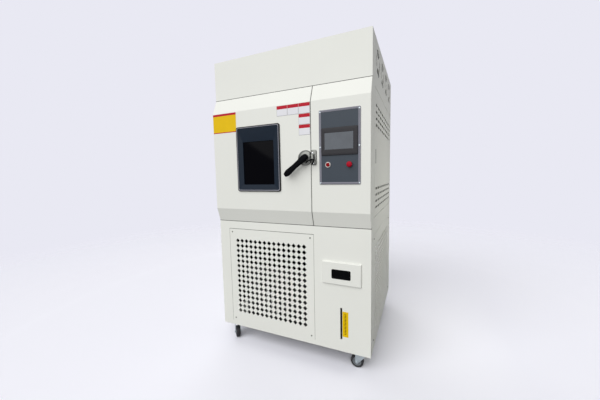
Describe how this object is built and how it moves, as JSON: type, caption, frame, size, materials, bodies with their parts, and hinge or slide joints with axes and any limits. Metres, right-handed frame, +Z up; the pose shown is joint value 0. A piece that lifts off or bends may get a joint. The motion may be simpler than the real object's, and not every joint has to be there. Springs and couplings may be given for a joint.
{
  "type": "environmental test chamber",
  "caption": "Floor-standing climatic test cabinet on castors: hinged windowed door with lever latch, bevelled control section, perforated machine-room panels, fan hood and water drawer.",
  "frame": {"origin": "on the floor under the centre of the whole object's box", "axes": "+Z up, -Y out of the front, +X to the right as seen from the front"},
  "size_m": [1.0204, 1.089, 1.85],
  "materials": {
    "white_paint": "warm white powder coat, fine orange peel, satin",
    "zinc_plate": "bright zinc plate, satin",
    "black_plastic": "fine moulded grain",
    "stainless": "brushed stainless sheet",
    "foam": "rigid foam",
    "mirror_sheet": "polished",
    "quartz": "clear quartz",
    "seal_rubber": "silicone, matt",
    "navy_plastic": "moulded surround, satin",
    "dark_glass": "dark filter glass",
    "chrome": "polished chrome plate",
    "slate_paint": "slate powder coat, satin",
    "screen_glass": "switched-off display glass",
    "red_plastic": "gloss",
    "clear_plastic": "clear moulded plastic",
    "black_paint": "black enamel",
    "aluminium_fins": "bare",
    "grey_plastic": "moulded",
    "tyre_rubber": "black rubber"
  },
  "bodies": {
    "cabinet": {"base_frame": "white_paint", "castor_plates": "zinc_plate", "lower_front_panel": "white_paint", "grille_panel": "white_paint", "panel_screws": "zinc_plate", "left_side_panel": "white_paint", "right_lower_panel": "white_paint", "right_grille_panel": "white_paint", "right_upper_panel": "white_paint", "rear_panel": "white_paint", "rear_fittings": "black_plastic", "hood": "white_paint", "fan_frames": "black_plastic", "door_frame": "stainless", "chamber_liner": "stainless", "insulation_jacket": "foam", "lamp_reflector": "mirror_sheet", "xenon_lamps": "quartz", "door_hinge_fixed": "chrome", "strike_plate": "chrome", "control_fascia": "white_paint", "instrument_plate": "slate_paint", "hmi_housing": "black_plastic", "hmi_screen": "screen_glass", "button_collars": "chrome", "drawer_rails": "zinc_plate", "sight_gauge": "clear_plastic", "compressor": "black_paint", "condenser_coil": "aluminium_fins", "condenser_shroud": "zinc_plate", "electrical_panel": "grey_plastic"},
    "door": {"door_shell": "white_paint", "door_liner": "stainless", "door_gasket": "seal_rubber", "window_frame": "navy_plastic", "window_glass": "dark_glass", "door_hinge_leaves": "chrome", "latch_base": "chrome"},
    "latch": {"latch_lever": "black_plastic"},
    "drawer": {"drawer_front": "white_paint", "drawer_pull": "black_plastic", "water_tank": "clear_plastic"},
    "power": {"power_button": "red_plastic"},
    "stop": {"stop_button": "red_plastic"},
    "service": {"service_door": "white_paint"},
    "paddle": {"service_latch": "zinc_plate"},
    "table": {"turntable": "stainless"},
    "condenser_rotor": {"cooling_fan": "aluminium_fins"},
    "hood_fan_1": {"fan_rotor_1": "black_plastic"},
    "hood_fan_2": {"fan_rotor_2": "black_plastic"},
    "hood_fan_3": {"fan_rotor_3": "black_plastic"},
    "hood_fan_4": {"fan_rotor_4": "black_plastic"},
    "fork_front_left": {"castor_fork_front_left": "zinc_plate"},
    "wheel_front_left": {"castor_wheel_front_left": "tyre_rubber"},
    "fork_front_right": {"castor_fork_front_right": "zinc_plate"},
    "wheel_front_right": {"castor_wheel_front_right": "tyre_rubber"},
    "fork_rear_left": {"castor_fork_rear_left": "zinc_plate"},
    "wheel_rear_left": {"castor_wheel_rear_left": "tyre_rubber"},
    "fork_rear_right": {"castor_fork_rear_right": "zinc_plate"},
    "wheel_rear_right": {"castor_wheel_rear_right": "tyre_rubber"}
  },
  "joints": [
    {"name": "door_hinge", "type": "hinge", "parent": "cabinet", "child": "door", "pos_m": [-0.50225, -0.4275, 0.831], "axis": [0, 0, -1], "range_deg": [0, 110]},
    {"name": "latch_turn", "type": "hinge", "parent": "door", "child": "latch", "pos_m": [0.15275, -0.5275, 1.217], "axis": [0, 1, 0], "range_deg": [0, 70]},
    {"name": "drawer_slide", "type": "slide", "parent": "cabinet", "child": "drawer", "axis": [0, -1, 0], "range_m": [0, 0.25]},
    {"name": "power_press", "type": "slide", "parent": "cabinet", "child": "power", "axis": [0, 1, 0], "range_m": [0, 0.003], "stiffness_N_per_m": 600, "springref_m": -0.002},
    {"name": "stop_press", "type": "slide", "parent": "cabinet", "child": "stop", "axis": [0, 1, 0], "range_m": [0, 0.003], "stiffness_N_per_m": 600, "springref_m": -0.002},
    {"name": "service_hinge", "type": "hinge", "parent": "cabinet", "child": "service", "pos_m": [0.50175, 0.4785, 0.881], "axis": [0, 0, 1], "range_deg": [0, 100]},
    {"name": "paddle_turn", "type": "hinge", "parent": "service", "child": "paddle", "pos_m": [0.5055, -0.3222, 1.254], "axis": [0, -1, 0], "range_deg": [0, 35], "stiffness_Nm_per_rad": 0.05, "springref_deg": -11.46},
    {"name": "table_turn", "type": "hinge", "parent": "cabinet", "child": "table", "pos_m": [-0.16025, -0.1732, 0.921], "axis": [0, 0, 1], "continuous": true},
    {"name": "condenser_fan_turn", "type": "hinge", "parent": "cabinet", "child": "condenser_rotor", "pos_m": [-0.13225, -0.3975, 0.302], "axis": [0, 1, 0], "continuous": true},
    {"name": "hood_fan_1_turn", "type": "hinge", "parent": "cabinet", "child": "hood_fan_1", "pos_m": [0.50775, -0.2505, 1.739], "axis": [1, 0, 0], "continuous": true},
    {"name": "hood_fan_2_turn", "type": "hinge", "parent": "cabinet", "child": "hood_fan_2", "pos_m": [0.50775, -0.0455, 1.739], "axis": [1, 0, 0], "continuous": true},
    {"name": "hood_fan_3_turn", "type": "hinge", "parent": "cabinet", "child": "hood_fan_3", "pos_m": [0.50775, 0.1595, 1.739], "axis": [1, 0, 0], "continuous": true},
    {"name": "hood_fan_4_turn", "type": "hinge", "parent": "cabinet", "child": "hood_fan_4", "pos_m": [0.50775, 0.3645, 1.739], "axis": [1, 0, 0], "continuous": true},
    {"name": "swivel_front_left", "type": "hinge", "parent": "cabinet", "child": "fork_front_left", "pos_m": [-0.43425, -0.4095, 0.11], "axis": [0, 0, 1], "continuous": true},
    {"name": "roll_front_left", "type": "hinge", "parent": "fork_front_left", "child": "wheel_front_left", "pos_m": [-0.41445, -0.4293, 0.0375], "axis": [0.7071, 0.7071, 0], "continuous": true},
    {"name": "swivel_front_right", "type": "hinge", "parent": "cabinet", "child": "fork_front_right", "pos_m": [0.44975, -0.4095, 0.11], "axis": [0, 0, 1], "continuous": true},
    {"name": "roll_front_right", "type": "hinge", "parent": "fork_front_right", "child": "wheel_front_right", "pos_m": [0.42175, -0.4095, 0.0375], "axis": [0, -1, 0], "continuous": true},
    {"name": "swivel_rear_left", "type": "hinge", "parent": "cabinet", "child": "fork_rear_left", "pos_m": [-0.43425, 0.4545, 0.11], "axis": [0, 0, 1], "continuous": true},
    {"name": "roll_rear_left", "type": "hinge", "parent": "fork_rear_left", "child": "wheel_rear_left", "pos_m": [-0.40794, 0.46408, 0.0375], "axis": [-0.342, 0.9397, 0], "continuous": true},
    {"name": "swivel_rear_right", "type": "hinge", "parent": "cabinet", "child": "fork_rear_right", "pos_m": [0.44975, 0.4545, 0.11], "axis": [0, 0, 1], "continuous": true},
    {"name": "roll_rear_right", "type": "hinge", "parent": "fork_rear_right", "child": "wheel_rear_right", "pos_m": [0.42344, 0.46408, 0.0375], "axis": [-0.342, -0.9397, 0], "continuous": true}
  ]
}
